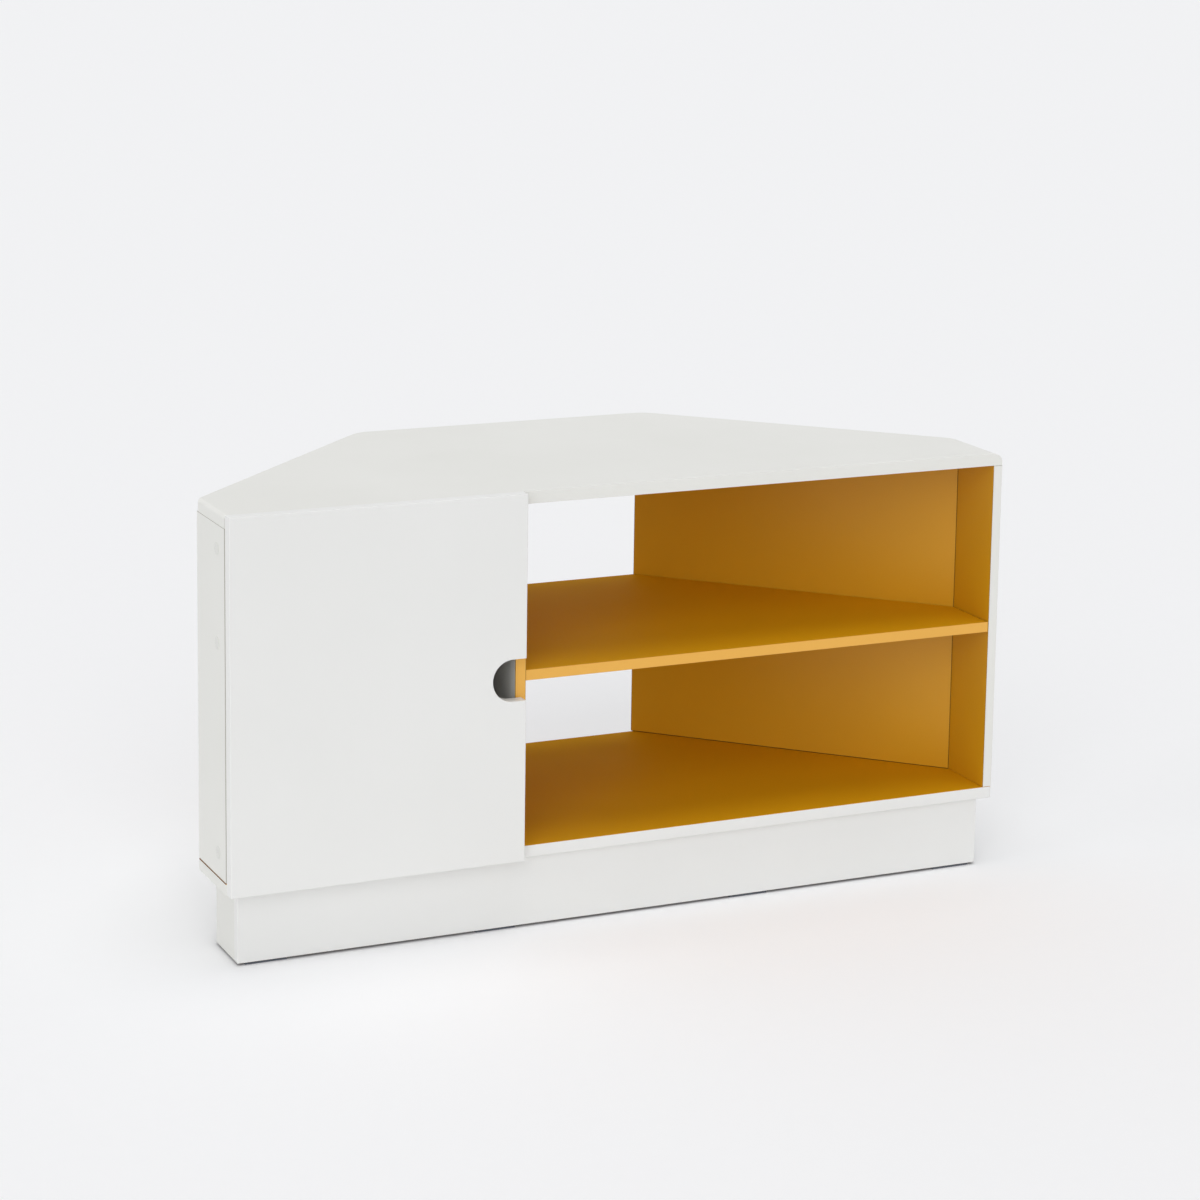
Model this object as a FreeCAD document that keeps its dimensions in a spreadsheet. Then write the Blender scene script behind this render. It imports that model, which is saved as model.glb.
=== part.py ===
import FreeCAD, Part
import Sketcher
import math
import os
import re

# Driving dimensions in millimetres and degrees: alias, value, meaning
DIMENSIONS = (
    ("cabinet_width", 1200, "overall width across the front"),
    ("cabinet_height", 633, "floor to the upper face of the top"),
    ("top_depth", 481, "front plane of the carcass to the rear edge of the top"),
    ("carcass_depth", 466, "front plane of the carcass to the rear edge of the base"),
    ("side_depth", 121, "depth of the short side panels"),
    ("slant_angle", 45, "angle of the slanted backs to the front"),
    ("top_thickness", 18, "top board"),
    ("base_thickness", 18, "base board"),
    ("side_thickness", 15, "side boards"),
    ("back_thickness", 15, "slanted back boards"),
    ("divider_thickness", 16, "upright divider board"),
    ("shelf_thickness", 15, "shelf boards"),
    ("band_thickness", 1, "edge band on the front of shelf and divider"),
    ("shelf_clearance", 0.3, "play between a shelf and the boards round it"),
    ("base_height", 123, "upper face of the base above the floor"),
    ("niche_shelf_height", 378, "upper face of the open shelf above the floor"),
    ("cupboard_shelf_drop", 157, "upper face of the cupboard shelf below the underside of the top"),
    ("cupboard_shelf_setback", 18, "cupboard shelf behind the front plane"),
    ("top_setback", 0.5, "front edge of the top behind the front plane"),
    ("front_corner_radius", 3, "plan rounding at the front corners of the top"),
    ("side_corner_radius", 18, "plan rounding of the top where side meets slant"),
    ("rear_corner_radius", 45, "plan rounding at the rear corners of the top"),
    ("base_corner_radius", 3, "plan rounding at all corners of the base"),
    ("door_width", 430, "door leaf"),
    ("door_thickness", 18, "door leaf"),
    ("door_gap", 3, "air between door and carcass"),
    ("door_top_rise", 1, "top of the door above the upper face of the top"),
    ("door_base_reveal", 3, "foot of the door above the underside of the base"),
    ("door_overlap", 8, "door over the front edge of the divider"),
    ("notch_radius", 30, "round end of the finger notch"),
    ("notch_straight", 20, "straight part of the finger notch"),
    ("plinth_setback", 10, "plinth behind the front plane"),
    ("plinth_inset", 19, "plinth inside the ends of the base"),
    ("plinth_thickness", 15, "plinth boards"),
    ("plinth_return", 94, "reach of the plinth ends behind the plinth face"),
    ("plinth_rear", 420, "front plane to the rear plinth board"),
    ("block_size", 30, "glue blocks in the plinth corners"),
    ("glide_thickness", 3, "felt glides under the plinth"),
    ("glide_length", 60, "front glides"),
    ("glide_width", 12, "all glides"),
    ("outer_glide_distance", 41, "end front glides from the ends of the plinth"),
    ("inner_glide_share", 0.344, "middle front glides, share of half the plinth"),
    ("rear_glide_share", 0.55, "rear glides, share of half the rear plinth board"),
    ("cam_radius", 7.3, "cam lock"),
    ("cam_depth", 12, "cam bore"),
    ("cam_distance", 34, "cam centre from the end of its board"),
    ("cam_setback", 34, "side cams behind the front plane"),
    ("cam_inset", 60, "cams from the ends of the long boards"),
    ("cover_radius", 9, "round cover cap"),
    ("cover_thickness", 0.6, "round cover cap"),
    ("bolt_radius", 3, "cam bolt"),
    ("bolt_grip", 10.5, "cam bolt in the top or base"),
    ("dowel_radius", 4, "wood dowel"),
    ("dowel_length", 30, "wood dowel"),
    ("dowel_grip", 10, "wood dowel in the top or base"),
    ("dowel_inset", 30, "side dowels from the rear edge of the side"),
    ("dowel_step", 40, "dowels from the cams along the long boards"),
    ("fit_clearance", 0.1, "radial play of fixings in their bores"),
    ("end_clearance", 0.5, "play at the end of a blind bore"),
    ("screw_radius", 2.5, "shelf screw"),
    ("screw_head_radius", 4.5, "shelf screw head"),
    ("screw_head_depth", 3, "shelf screw head"),
    ("screw_length", 48, "shelf screw"),
    ("shelf_pin_radius", 2.5, "shelf pins"),
    ("shelf_pin_depth", 7, "shelf pins inside the board"),
    ("shelf_pin_reach", 9, "shelf pins under the shelf"),
    ("side_pin_first", 22, "side shelf pins behind the front plane"),
    ("side_pin_second", 62, "side shelf pins behind the front plane"),
    ("divider_pin_first", 45, "divider shelf pins behind the front plane"),
    ("divider_pin_second", 400, "divider shelf pins behind the front plane"),
    ("hinge_distance", 90, "hinge centres from the ends of the door"),
    ("pivot_edge", 7.5, "hinge pin from the edge of the door"),
    ("pivot_depth", 10, "hinge pin from the back of the door"),
    ("pivot_radius", 1.25, "hinge pin"),
    ("pivot_reach", 10, "half the length of the hinge pin"),
    ("pivot_clearance", 0.05, "radial play of the hinge pin"),
    ("eye_radius", 2.5, "eye of the hinge arm"),
    ("cup_radius", 17.5, "hinge cup"),
    ("cup_edge", 3.5, "hinge cup from the edge of the door"),
    ("cup_depth", 13.5, "hinge cup in the door"),
    ("cup_wall", 0.8, "hinge cup"),
    ("flange_thickness", 1, "hinge cup flange"),
    ("flange_width", 22, "hinge cup flange"),
    ("flange_height", 56, "hinge cup flange"),
    ("flange_screw_place", 22, "flange screws from the hinge centre"),
    ("arm_thickness", 4, "hinge arm"),
    ("arm_height", 6, "hinge arm"),
    ("arm_reach", 55, "hinge arm behind the front plane"),
    ("arm_screw_setback", 48, "arm screw behind the front plane"),
    ("plate_thickness", 5, "hinge plate"),
    ("plate_setback", 18, "hinge plate behind the front plane"),
    ("plate_length", 40, "hinge plate"),
    ("plate_height", 40, "hinge plate"),
    ("plate_screw_line", 37, "plate screws behind the front plane"),
    ("plate_screw_place", 13, "plate screws from the hinge centre"),
    ("small_screw_radius", 1.75, "hinge screws"),
    ("small_screw_grip", 8, "hinge screws in the board"),
    ("small_head_radius", 3.2, "hinge screw heads"),
    ("small_head_depth", 1.2, "hinge screw heads"),
    ("bumper_radius", 4, "door bumpers"),
    ("bumper_clearance", 0.4, "air between bumper and carcass"),
    ("bumper_edge", 40, "bumpers from the free edge of the door"),
    ("cut_overrun", 5, "cutting tools past the face they start from"),
)

doc = FreeCAD.newDocument("corner_tv_cabinet")
sheet = doc.addObject("Spreadsheet::Sheet", "Sizes")
for row, (alias, value, meaning) in enumerate(DIMENSIONS, start=1):
    sheet.set(f"A{row}", meaning)
    sheet.set(f"B{row}", str(value))
    sheet.setAlias(f"B{row}", alias)
doc.recompute()

ALIASES = {alias for alias, value, meaning in DIMENSIONS}
TOUCHING = 0.001
finished = []


# Helpers that turn plain formulas into bound expressions
def formula(text):
    def swap(match):
        word = match.group(0)
        return "Sizes." + word if word in ALIASES else word
    return re.sub(r"[a-z][a-z_]*", swap, text)


def number(text):
    return float(sheet.evalExpression(formula(text)))


def bind(item, name, text):
    item.setExpression(name, formula(text))


def place(item, spot, turn=None):
    if turn is not None:
        item.Placement = FreeCAD.Placement(FreeCAD.Vector(), turn)
    for axis, text in zip("xyz", spot):
        bind(item, f"Placement.Base.{axis}", text)


def keep(item, label):
    item.Label = label
    finished.append(item)
    return item


# Helpers for solids
def block(name, spot, size):
    item = doc.addObject("Part::Box", name)
    for prop, text in zip(("Length", "Width", "Height"), size):
        bind(item, prop, text)
    place(item, spot)
    return item


UPWARD = FreeCAD.Vector(0, 0, 1)
RIGHTWARD = FreeCAD.Vector(1, 0, 0)
REARWARD = FreeCAD.Vector(0, 1, 0)


def rod(name, spot, direction, radius, length):
    item = doc.addObject("Part::Cylinder", name)
    bind(item, "Radius", radius)
    bind(item, "Height", length)
    place(item, spot, FreeCAD.Rotation(UPWARD, direction))
    return item


def fuse(name, items):
    item = doc.addObject("Part::MultiFuse", name)
    item.Shapes = items
    return item


def cut(name, base, tools):
    item = doc.addObject("Part::Cut", name)
    item.Base = base
    item.Tool = tools[0] if len(tools) == 1 else fuse(name + "_tools", tools)
    return item


def group(name, items):
    item = doc.addObject("Part::Compound", name)
    item.Links = items
    return item


def round_corners(body, corners, radius):
    doc.recompute()
    last_feature = body.Tip
    spots = [FreeCAD.Vector(number(x), number(y), 0) for x, y in corners]
    picked = []
    for index, edge in enumerate(last_feature.Shape.Edges, start=1):
        first = edge.Vertexes[0].Point
        last = edge.Vertexes[-1].Point
        level = FreeCAD.Vector(last.x, last.y, first.z)
        upright = first.distanceToPoint(level) < TOUCHING < abs(last.z - first.z)
        plan = FreeCAD.Vector(first.x, first.y, 0)
        near = any(plan.distanceToPoint(spot) < TOUCHING for spot in spots)
        if upright and near:
            picked.append(f"Edge{index}")
    if len(picked) != len(spots):
        raise RuntimeError(f"corners not found on {body.Label}")
    fillet = body.newObject("PartDesign::Fillet", body.Name + "_rounding")
    fillet.Base = (last_feature, picked)
    bind(fillet, "Radius", radius)
    body.Tip = fillet
    doc.recompute()


def plan_board(name, corners, low, height):
    body = doc.addObject("PartDesign::Body", name)
    plane = next(item for item in body.Origin.OriginFeatures if item.Role == "XY_Plane")
    sketch = body.newObject("Sketcher::SketchObject", name + "_outline")
    sketch.AttachmentSupport = (plane, [""])
    sketch.MapMode = "FlatFace"
    points = [FreeCAD.Vector(number(x), number(y), 0) for x, y in corners]
    count = len(points)
    for index in range(count):
        sketch.addGeometry(Part.LineSegment(points[index], points[(index + 1) % count]), False)
    for index in range(count):
        sketch.addConstraint(Sketcher.Constraint("Coincident", index, 2, (index + 1) % count, 1))
    for index, (x, y) in enumerate(corners):
        across = Sketcher.Constraint("DistanceX", -1, 1, index, 1, points[index].x)
        along = Sketcher.Constraint("DistanceY", -1, 1, index, 1, points[index].y)
        sketch.setExpression(f"Constraints[{sketch.addConstraint(across)}]", formula(x))
        sketch.setExpression(f"Constraints[{sketch.addConstraint(along)}]", formula(y))
    pad = body.newObject("PartDesign::Pad", name + "_pad")
    pad.Profile = sketch
    bind(pad, "Length", height)
    body.Tip = pad
    bind(body, "Placement.Base.z", low)
    return body


def mirrored(corners):
    return [(f"-({x})", y) for x, y in reversed(corners)]


# Shared lines of the carcass
FRONT = "((door_thickness + door_gap - top_depth) / 2)"
HALF = "(cabinet_width / 2)"
INNER = "(cabinet_width / 2 - side_thickness)"
TOP_UNDER = "(cabinet_height - top_thickness)"
BASE_UNDER = "(base_height - base_thickness)"
CLEAR_HEIGHT = "(cabinet_height - top_thickness - base_height)"
DIVIDER_LEFT = f"(door_width - door_overlap - {HALF})"
DIVIDER_RIGHT = f"({DIVIDER_LEFT} + divider_thickness)"
REAR = f"({FRONT} + carcass_depth)"
SIDE_END = f"({FRONT} + side_depth)"


def slant_x(depth, inward):
    return f"({INNER} - ({depth} - side_depth) / tan(slant_angle) - ({inward}) / sin(slant_angle))"


def slant_y(place_x, inward):
    return f"({SIDE_END} + ({INNER} - {place_x}) * tan(slant_angle) - ({inward}) / cos(slant_angle))"


def hexagon(front, depth):
    rear_x = f"({HALF} - ({depth} - side_depth) / tan(slant_angle))"
    right = [(HALF, front), (HALF, SIDE_END), (rear_x, f"({FRONT} + {depth})")]
    return right + mirrored(right)


def rounded_board(name, corners, low, height, radii):
    body = plan_board(name, corners, low, height)
    for radius, first, second in zip(radii, (0, 1, 2), (5, 4, 3)):
        round_corners(body, [corners[first], corners[second]], radius)
    return body


# Boards before drilling
top_board = rounded_board(
    "top_board",
    hexagon(f"({FRONT} + top_setback)", "top_depth"),
    TOP_UNDER,
    "top_thickness",
    ("front_corner_radius", "side_corner_radius", "rear_corner_radius"),
)
base_board = rounded_board(
    "base_board",
    hexagon(FRONT, "carcass_depth"),
    BASE_UNDER,
    "base_thickness",
    ("base_corner_radius", "base_corner_radius", "base_corner_radius"),
)

side_plan = [(INNER, FRONT), (HALF, FRONT), (HALF, SIDE_END), (INNER, SIDE_END)]
back_plan = [
    (INNER, f"({SIDE_END} - back_thickness / cos(slant_angle))"),
    (INNER, SIDE_END),
    (slant_x("carcass_depth", "0"), REAR),
    (slant_x("carcass_depth", "back_thickness"), REAR),
]
divider_front = f"({FRONT} + band_thickness)"
divider_plan = [
    (DIVIDER_LEFT, divider_front),
    (DIVIDER_RIGHT, divider_front),
    (DIVIDER_RIGHT, REAR),
    (DIVIDER_LEFT, REAR),
]
boards = {
    "right_side": plan_board("right_side_board", side_plan, "base_height", CLEAR_HEIGHT),
    "left_side": plan_board("left_side_board", mirrored(side_plan), "base_height", CLEAR_HEIGHT),
    "right_back": plan_board("right_back_board", back_plan, "base_height", CLEAR_HEIGHT),
    "left_back": plan_board("left_back_board", mirrored(back_plan), "base_height", CLEAR_HEIGHT),
    "divider": plan_board("divider_board", divider_plan, "base_height", CLEAR_HEIGHT),
}
bores = {name: [] for name in list(boards) + ["top", "base"]}

# Shelf outlines follow the slanted backs with the shelf clearance
shelf_inward = "(back_thickness + shelf_clearance)"
shelf_side = f"({INNER} - shelf_clearance)"
shelf_corner = (shelf_side, slant_y(shelf_side, shelf_inward))
shelf_rear = (slant_x("carcass_depth", shelf_inward), REAR)
niche_left = f"({DIVIDER_RIGHT} + shelf_clearance)"
niche_plan = [
    (niche_left, divider_front),
    (shelf_side, divider_front),
    shelf_corner,
    shelf_rear,
    (niche_left, REAR),
]
cupboard_front = f"({FRONT} + cupboard_shelf_setback)"
cupboard_right = f"({DIVIDER_LEFT} - shelf_clearance)"
cupboard_plan = [
    (cupboard_right, cupboard_front),
    (cupboard_right, REAR),
    (f"-{shelf_rear[0]}", REAR),
    (f"-{shelf_corner[0]}", shelf_corner[1]),
    (f"-{shelf_side}", cupboard_front),
]
niche_low = "(niche_shelf_height - shelf_thickness)"
cupboard_low = f"({TOP_UNDER} - cupboard_shelf_drop - shelf_thickness)"
niche_shelf = plan_board("niche_shelf_board", niche_plan, niche_low, "shelf_thickness")
keep(niche_shelf, "niche_shelf")
cupboard_board = plan_board("cupboard_board", cupboard_plan, cupboard_low, "shelf_thickness")

# Edge bands on the front edges of the shelf and the divider
shelf_band = block(
    "shelf_band",
    (niche_left, FRONT, niche_low),
    (f"({shelf_side} - {niche_left})", "band_thickness", "shelf_thickness"),
)
keep(shelf_band, "niche_shelf_edge_band")
divider_band = block(
    "divider_band",
    (DIVIDER_LEFT, FRONT, "base_height"),
    ("divider_thickness", "band_thickness", CLEAR_HEIGHT),
)
keep(divider_band, "divider_edge_band")

# Cam and dowel places: board, plan place of the axis, direction to the bored face, board thickness
slant = math.radians(number("slant_angle"))
right_out = FreeCAD.Vector(math.sin(slant), math.cos(slant), 0)
left_out = FreeCAD.Vector(-math.sin(slant), math.cos(slant), 0)
side_middle = f"({HALF} - side_thickness / 2)"
divider_middle = f"({DIVIDER_LEFT} + divider_thickness / 2)"
near_cam = "(side_depth + cam_inset)"
far_cam = "(carcass_depth - cam_inset)"
near_dowel = f"({near_cam} + dowel_step)"
far_dowel = f"({far_cam} - dowel_step)"


def back_spot(depth, sign):
    return (f"{sign}{slant_x(depth, 'back_thickness / 2')}", f"({FRONT} + {depth})")


def divider_spot(depth):
    return (divider_middle, f"({FRONT} + {depth})")


side_cam_y = f"({FRONT} + cam_setback)"
side_dowel_y = f"({SIDE_END} - dowel_inset)"
cam_spots = [
    ("left_side", (f"-{side_middle}", side_cam_y), -RIGHTWARD, "side_thickness"),
    ("right_side", (side_middle, side_cam_y), RIGHTWARD, "side_thickness"),
    ("left_back", back_spot(near_cam, "-"), left_out, "back_thickness"),
    ("left_back", back_spot(far_cam, "-"), left_out, "back_thickness"),
    ("right_back", back_spot(near_cam, ""), right_out, "back_thickness"),
    ("right_back", back_spot(far_cam, ""), right_out, "back_thickness"),
    ("divider", divider_spot("cam_inset"), -RIGHTWARD, "divider_thickness"),
    ("divider", divider_spot(far_cam), -RIGHTWARD, "divider_thickness"),
]
dowel_spots = [
    ("left_side", (f"-{side_middle}", side_dowel_y)),
    ("right_side", (side_middle, side_dowel_y)),
    ("left_back", back_spot(near_dowel, "-")),
    ("left_back", back_spot(far_dowel, "-")),
    ("right_back", back_spot(near_dowel, "")),
    ("right_back", back_spot(far_dowel, "")),
    ("divider", divider_spot("(cam_inset + dowel_step)")),
    ("divider", divider_spot(far_dowel)),
]
ends = (
    ("top", TOP_UNDER, f"({TOP_UNDER} - cam_distance)", UPWARD, "-", "+"),
    ("base", "base_height", "(base_height + cam_distance)", -UPWARD, "+", "-"),
)


def along(direction, distance):
    return [f"({component!r}) * ({distance})" for component in direction]


cams = []
bolts = []
dowels = []
covers = []
for end, face, level, outward, inner_sign, outer_sign in ends:
    for board, (x, y), facing, thickness in cam_spots:
        reach = along(facing, f"{thickness} / 2 + cut_overrun")
        start = (f"{x} + {reach[0]}", f"{y} + {reach[1]}", level)
        depth = "(cam_depth + cut_overrun)"
        bores[board].append(rod("cam_bore", start, -facing, "cam_radius + fit_clearance", depth))
        floor = along(facing, f"{thickness} / 2 - cam_depth")
        start = (f"{x} + {floor[0]}", f"{y} + {floor[1]}", level)
        cams.append(rod("cam", start, facing, "cam_radius", "cam_depth - end_clearance"))
        if "side" in board:
            face_spot = along(facing, f"{thickness} / 2")
            start = (f"{x} + {face_spot[0]}", f"{y} + {face_spot[1]}", level)
            covers.append(rod("cover", start, facing, "cover_radius", "cover_thickness"))
        bore = rod("bolt_bore", (x, y, level), outward, "bolt_radius + fit_clearance",
                   "cam_distance + bolt_grip + end_clearance")
        bores[board].append(bore)
        bores[end].append(bore)
        start = (x, y, f"{level} {outer_sign} (cam_radius + end_clearance)")
        bolts.append(rod("bolt", start, outward, "bolt_radius",
                         "cam_distance + bolt_grip - cam_radius - end_clearance"))
    for board, (x, y) in dowel_spots:
        sunk = "(dowel_length - dowel_grip + end_clearance)"
        start = (x, y, f"{face} {inner_sign} {sunk}")
        bore = rod("dowel_bore", start, outward, "dowel_radius + fit_clearance",
                   "dowel_length + 2 * end_clearance")
        bores[board].append(bore)
        bores[end].append(bore)
        start = (x, y, f"{face} {inner_sign} (dowel_length - dowel_grip)")
        dowels.append(rod("dowel", start, outward, "dowel_radius", "dowel_length"))

# Screw through the left side into the cupboard shelf, under a cover cap
screw_level = f"({cupboard_low} + shelf_thickness / 2)"
screw_face = (f"-{HALF}", side_cam_y, screw_level)
covers.append(rod("cover", screw_face, -RIGHTWARD, "cover_radius", "cover_thickness"))
head = rod("screw_head", screw_face, RIGHTWARD, "screw_head_radius", "screw_head_depth")
shank = rod("screw_shank", screw_face, RIGHTWARD, "screw_radius", "screw_length")
keep(fuse("shelf_screw", [head, shank]), "cupboard_shelf_screw")
overrun_face = (f"-{HALF} - cut_overrun", side_cam_y, screw_level)
bores["left_side"].append(rod("head_bore", overrun_face, RIGHTWARD,
                              "screw_head_radius + fit_clearance", "screw_head_depth + cut_overrun"))
shank_bore = rod("shank_bore", screw_face, RIGHTWARD, "screw_radius + fit_clearance",
                 "screw_length + end_clearance")
bores["left_side"].append(shank_bore)
keep(cut("cupboard_shelf_cut", cupboard_board, [shank_bore]), "cupboard_shelf")

# Pins that carry the shelves
pins = []


def shelf_pin(board, face_x, direction, depth, underside):
    way = 1 if direction.x > 0 else -1
    inset = f"{face_x} - ({way}) * shelf_pin_depth"
    y = f"({FRONT} + {depth})"
    level = f"({underside} - shelf_pin_radius)"
    pins.append(rod("shelf_pin", (inset, y, level), direction, "shelf_pin_radius",
                    "shelf_pin_depth + shelf_pin_reach"))
    deep = f"{face_x} - ({way}) * (shelf_pin_depth + end_clearance)"
    bores[board].append(rod("pin_bore", (deep, y, level), direction, "shelf_pin_radius + fit_clearance",
                            "shelf_pin_depth + end_clearance + cut_overrun"))


for depth in ("side_pin_first", "side_pin_second"):
    shelf_pin("right_side", INNER, -RIGHTWARD, depth, niche_low)
for depth in ("divider_pin_first", "divider_pin_second"):
    shelf_pin("divider", DIVIDER_RIGHT, RIGHTWARD, depth, niche_low)
    shelf_pin("divider", DIVIDER_LEFT, -RIGHTWARD, depth, cupboard_low)

keep(group("cams", cams), "cam_locks")
keep(group("bolts", bolts), "cam_bolts")
keep(group("dowels", dowels), "wood_dowels")
keep(group("covers", covers), "side_cover_caps")
keep(group("pins", pins), "shelf_pins")

# Door leaf with its finger notch
DOOR_BACK = f"({FRONT} - door_gap)"
DOOR_FRONT = f"({FRONT} - door_gap - door_thickness)"
DOOR_LOW = f"({BASE_UNDER} + door_base_reveal)"
DOOR_HIGH = "(cabinet_height + door_top_rise)"
DOOR_RIGHT = f"(door_width - {HALF})"
door_board = block(
    "door_board",
    (f"-{HALF}", DOOR_FRONT, DOOR_LOW),
    ("door_width", "door_thickness", f"({DOOR_HIGH} - {DOOR_LOW})"),
)
notch_level = f"(({DOOR_HIGH} + {DOOR_LOW}) / 2)"
notch_centre = f"({DOOR_RIGHT} - notch_straight)"
notch_front = f"({DOOR_FRONT} - cut_overrun)"
notch_through = "(door_thickness + 2 * cut_overrun)"
door_bores = [
    rod("notch_round", (notch_centre, notch_front, notch_level), REARWARD, "notch_radius", notch_through),
    block(
        "notch_slot",
        (notch_centre, notch_front, f"({notch_level} - notch_radius)"),
        ("(notch_straight + cut_overrun)", notch_through, "2 * notch_radius"),
    ),
]

# Hinges: cup and pin travel with the door, arm and plate stay on the side panel
PIN_X = f"(pivot_edge - {HALF})"
PIN_Y = f"({DOOR_BACK} - pivot_depth)"
CUP_X = f"(cup_edge + cup_radius - {HALF})"
ARM_X = f"(plate_thickness - {INNER})"
ARM_FRONT = f"({PIN_Y} - arm_thickness / 2)"
cup_screws = []
plate_screws = []
arm_screws = []


def headed(name, spot, direction, length):
    under = along(direction, "small_head_depth")
    top = tuple(f"{text} - {rise}" for text, rise in zip(spot, under))
    head = rod(name + "_head", top, direction, "small_head_radius", "small_head_depth")
    shank = rod(name + "_shank", spot, direction, "small_screw_radius", length)
    return fuse(name, [head, shank])


def hinge(tag, level):
    cup_mouth = (CUP_X, f"{DOOR_BACK} + flange_thickness", level)
    cup_wall = rod(tag + "_cup_wall", cup_mouth, -REARWARD, "cup_radius", "cup_depth + flange_thickness")
    flange = block(
        tag + "_flange",
        (f"{CUP_X} - flange_width / 2", DOOR_BACK, f"{level} - flange_height / 2"),
        ("flange_width", "flange_thickness", "flange_height"),
    )
    mouth = (CUP_X, f"{DOOR_BACK} + flange_thickness + cut_overrun", level)
    hollow = rod(tag + "_hollow", mouth, -REARWARD, "cup_radius - cup_wall",
                 "cup_depth + flange_thickness + cut_overrun - cup_wall")
    door_bores.append(rod(tag + "_cup_bore", (CUP_X, f"{DOOR_BACK} + cut_overrun", level), -REARWARD,
                          "cup_radius + fit_clearance", "cup_depth + cut_overrun"))
    flange_holes = [hollow]
    for sign in ("+", "-"):
        height = f"{level} {sign} flange_screw_place"
        spot = (CUP_X, f"{DOOR_BACK} + flange_thickness", height)
        cup_screws.append(headed(tag + "_cup_screw", spot, -REARWARD,
                                 "small_screw_grip + flange_thickness"))
        bore = rod(tag + "_cup_screw_bore", spot, -REARWARD, "small_screw_radius + fit_clearance",
                   "small_screw_grip + flange_thickness + end_clearance")
        flange_holes.append(bore)
        door_bores.append(bore)
    cup = cut(tag + "_cup", fuse(tag + "_cup_solid", [cup_wall, flange]), flange_holes)
    keep(cup, tag + "_hinge_cup")
    pin_foot = (PIN_X, PIN_Y, f"{level} - pivot_reach")
    pin = rod(tag + "_pin", pin_foot, UPWARD, "pivot_radius", "2 * pivot_reach")
    keep(pin, tag + "_hinge_pin")

    arm_low = f"{level} - arm_height / 2"
    neck = block(
        tag + "_neck",
        (PIN_X, ARM_FRONT, arm_low),
        (f"({ARM_X} + arm_thickness - {PIN_X})", "arm_thickness", "arm_height"),
    )
    beam = block(
        tag + "_beam",
        (ARM_X, ARM_FRONT, arm_low),
        ("arm_thickness", f"({FRONT} + arm_reach - {ARM_FRONT})", "arm_height"),
    )
    eye = rod(tag + "_eye", (PIN_X, PIN_Y, arm_low), UPWARD, "eye_radius", "arm_height")
    eye_bore = rod(tag + "_eye_bore", (PIN_X, PIN_Y, f"{arm_low} - cut_overrun"), UPWARD,
                   "pivot_radius + pivot_clearance", "arm_height + 2 * cut_overrun")
    screw_spot = (f"{ARM_X} + arm_thickness", f"{FRONT} + arm_screw_setback", level)
    arm_screws.append(headed(tag + "_arm_screw", screw_spot, -RIGHTWARD,
                             "arm_thickness + plate_thickness - end_clearance"))
    screw_bore = rod(tag + "_arm_screw_bore", screw_spot, -RIGHTWARD,
                     "small_screw_radius + fit_clearance", "arm_thickness + plate_thickness")
    arm = cut(tag + "_arm", fuse(tag + "_arm_solid", [neck, beam, eye]), [eye_bore, screw_bore])
    keep(arm, tag + "_hinge_arm")

    plate = block(
        tag + "_plate_block",
        (f"-{INNER}", f"{FRONT} + plate_setback", f"{level} - plate_height / 2"),
        ("plate_thickness", "plate_length", "plate_height"),
    )
    plate_holes = [screw_bore]
    for sign in ("+", "-"):
        height = f"{level} {sign} plate_screw_place"
        spot = (ARM_X, f"{FRONT} + plate_screw_line", height)
        plate_screws.append(headed(tag + "_plate_screw", spot, -RIGHTWARD,
                                   "plate_thickness + small_screw_grip"))
        bore = rod(tag + "_plate_screw_bore", spot, -RIGHTWARD, "small_screw_radius + fit_clearance",
                   "plate_thickness + small_screw_grip + end_clearance")
        plate_holes.append(bore)
        bores["left_side"].append(bore)
    keep(cut(tag + "_plate", plate, plate_holes), tag + "_hinge_plate")


hinge("lower", f"({DOOR_LOW} + hinge_distance)")
hinge("upper", f"({DOOR_HIGH} - hinge_distance)")
keep(group("cup_screws", cup_screws), "hinge_cup_screws")
keep(group("plate_screws", plate_screws), "hinge_plate_screws")
keep(group("arm_screws", arm_screws), "hinge_arm_screws")
keep(cut("door_cut", door_board, door_bores), "door_panel")

# Bumpers on the back of the door meet the front edges of the top and the base
bumper_x = f"({DOOR_RIGHT} - bumper_edge)"
bumpers = []
bumper_spots = (
    (f"({TOP_UNDER} + top_thickness / 2)", "door_gap + top_setback"),
    (f"({DOOR_LOW} + (base_height - {DOOR_LOW}) / 2)", "door_gap"),
)
for level, air in bumper_spots:
    bumpers.append(rod("bumper", (bumper_x, DOOR_BACK, level), REARWARD, "bumper_radius",
                       f"{air} - bumper_clearance"))
keep(group("bumpers", bumpers), "door_bumpers")

# Drilled boards
keep(cut("top_cut", top_board, bores["top"]), "top_panel")
keep(cut("base_cut", base_board, bores["base"]), "base_panel")
for name, label in (("left_side", "left_side_panel"), ("right_side", "right_side_panel"),
                    ("left_back", "left_back_panel"), ("right_back", "right_back_panel"),
                    ("divider", "divider_panel")):
    keep(cut(name + "_cut", boards[name], bores[name]), label)

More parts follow.
